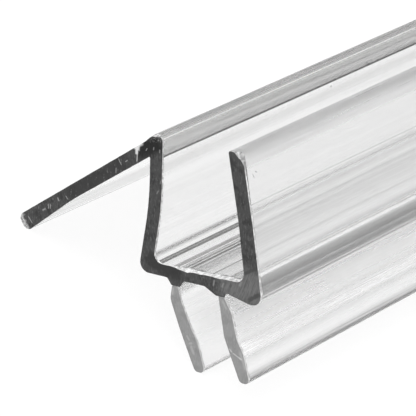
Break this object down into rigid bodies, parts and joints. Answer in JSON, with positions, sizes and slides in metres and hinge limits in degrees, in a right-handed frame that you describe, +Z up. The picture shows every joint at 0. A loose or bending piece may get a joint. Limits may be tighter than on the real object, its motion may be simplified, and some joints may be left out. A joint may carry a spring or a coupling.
{
  "type": "shower door seal strip",
  "caption": "Clear extruded channel that clips on the bottom edge of a glass shower door, with a sloping drip rail and two soft sealing fins below.",
  "frame": {"origin": "centre of the footprint on the floor that the strip lies on", "axes": "+Y along the strip, away from the sawn end that the picture shows; +X across it, from the drip rail's lip towards the free leg; +Z up as it lies"},
  "size_m": [0.0296, 0.8, 0.023],
  "materials": {
    "clear_rigid_plastic": "water clear and glossy along the strip, with fine lengthwise die lines; dark and matt where it is sawn",
    "clear_soft_plastic": "clear soft plastic, smooth and a little cloudy; mid grey and matt where it is sawn"
  },
  "bodies": {
    "root": {"drip_rail_channel": "clear_rigid_plastic", "inner_fin": "clear_soft_plastic", "outer_fin": "clear_soft_plastic"}
  },
  "joints": []
}
